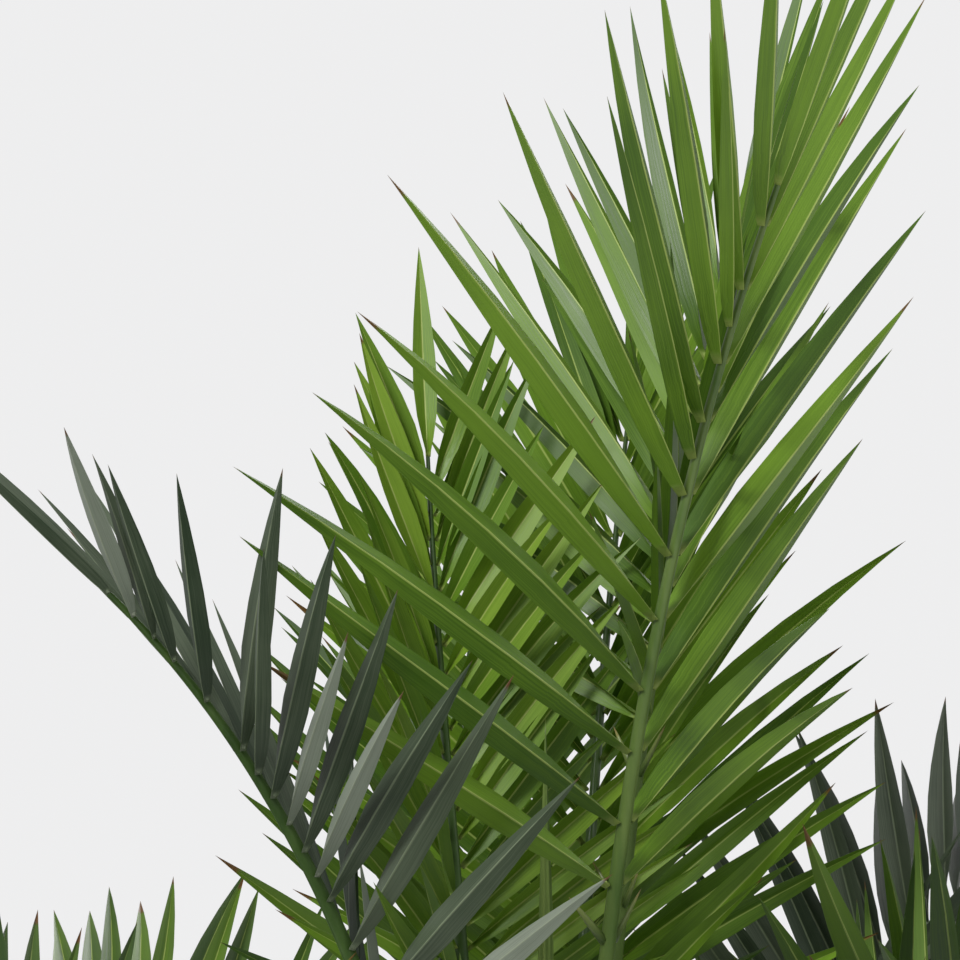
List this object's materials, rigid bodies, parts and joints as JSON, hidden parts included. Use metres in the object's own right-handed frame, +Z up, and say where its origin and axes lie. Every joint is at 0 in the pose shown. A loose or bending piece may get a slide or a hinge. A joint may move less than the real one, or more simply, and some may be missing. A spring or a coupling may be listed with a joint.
{
  "type": "potted canary island date palm",
  "caption": "Young feather-leaved date palm in a plain round pot, with upright fronds in the middle and arching ones round them.",
  "frame": {"origin": "centre of the flat underside of the pot, on the floor", "axes": "+Z up, -Y towards the side of the plant that the picture shows, +X to the right of that side"},
  "size_m": [1.4766, 1.4363, 1.3287],
  "materials": {
    "pot": "matte, dark grey",
    "potting_mix": "rough bark and peat crumbs",
    "trunk": "rough, with fibres and cut frond stubs",
    "frond_green": "soft sheen, mid green",
    "frond_dark": "soft sheen, dark bluish green",
    "frond_lime": "soft sheen, young lime green"
  },
  "bodies": {
    "root": {"frond_01": "frond_green", "frond_02": "frond_lime", "frond_03": "frond_green", "frond_04": "frond_green", "frond_05": "frond_dark", "frond_06_inner": "frond_green", "frond_06_outer": "frond_green", "frond_07_inner": "frond_green", "frond_07_outer": "frond_green", "frond_08_inner": "frond_green", "frond_08_outer": "frond_green", "frond_09_inner": "frond_dark", "frond_09_outer": "frond_dark", "frond_10_inner": "frond_green", "frond_10_outer": "frond_green", "frond_11_inner": "frond_green", "frond_11_outer": "frond_green", "frond_12_inner": "frond_green", "frond_12_outer": "frond_green", "frond_13_inner": "frond_green", "frond_13_outer": "frond_green", "frond_14_inner": "frond_green", "frond_14_outer": "frond_green", "frond_15_inner": "frond_green", "frond_15_outer": "frond_green", "frond_16_inner": "frond_green", "frond_16_outer": "frond_green", "frond_17_inner": "frond_green", "frond_17_outer": "frond_green", "frond_18_inner": "frond_green", "frond_18_outer": "frond_green", "frond_19_inner": "frond_green", "frond_19_outer": "frond_green", "frond_20_inner": "frond_green", "frond_20_outer": "frond_green", "frond_21_inner": "frond_green", "frond_21_outer": "frond_green", "frond_22_inner": "frond_green", "frond_22_outer": "frond_green", "frond_23_inner": "frond_green", "frond_23_outer": "frond_green", "frond_24_inner": "frond_green", "frond_24_outer": "frond_green", "frond_25_inner": "frond_green", "frond_25_outer": "frond_green", "pot": "pot", "potting_mix": "potting_mix", "spear_leaf": "frond_lime", "trunk": "trunk"}
  },
  "joints": []
}
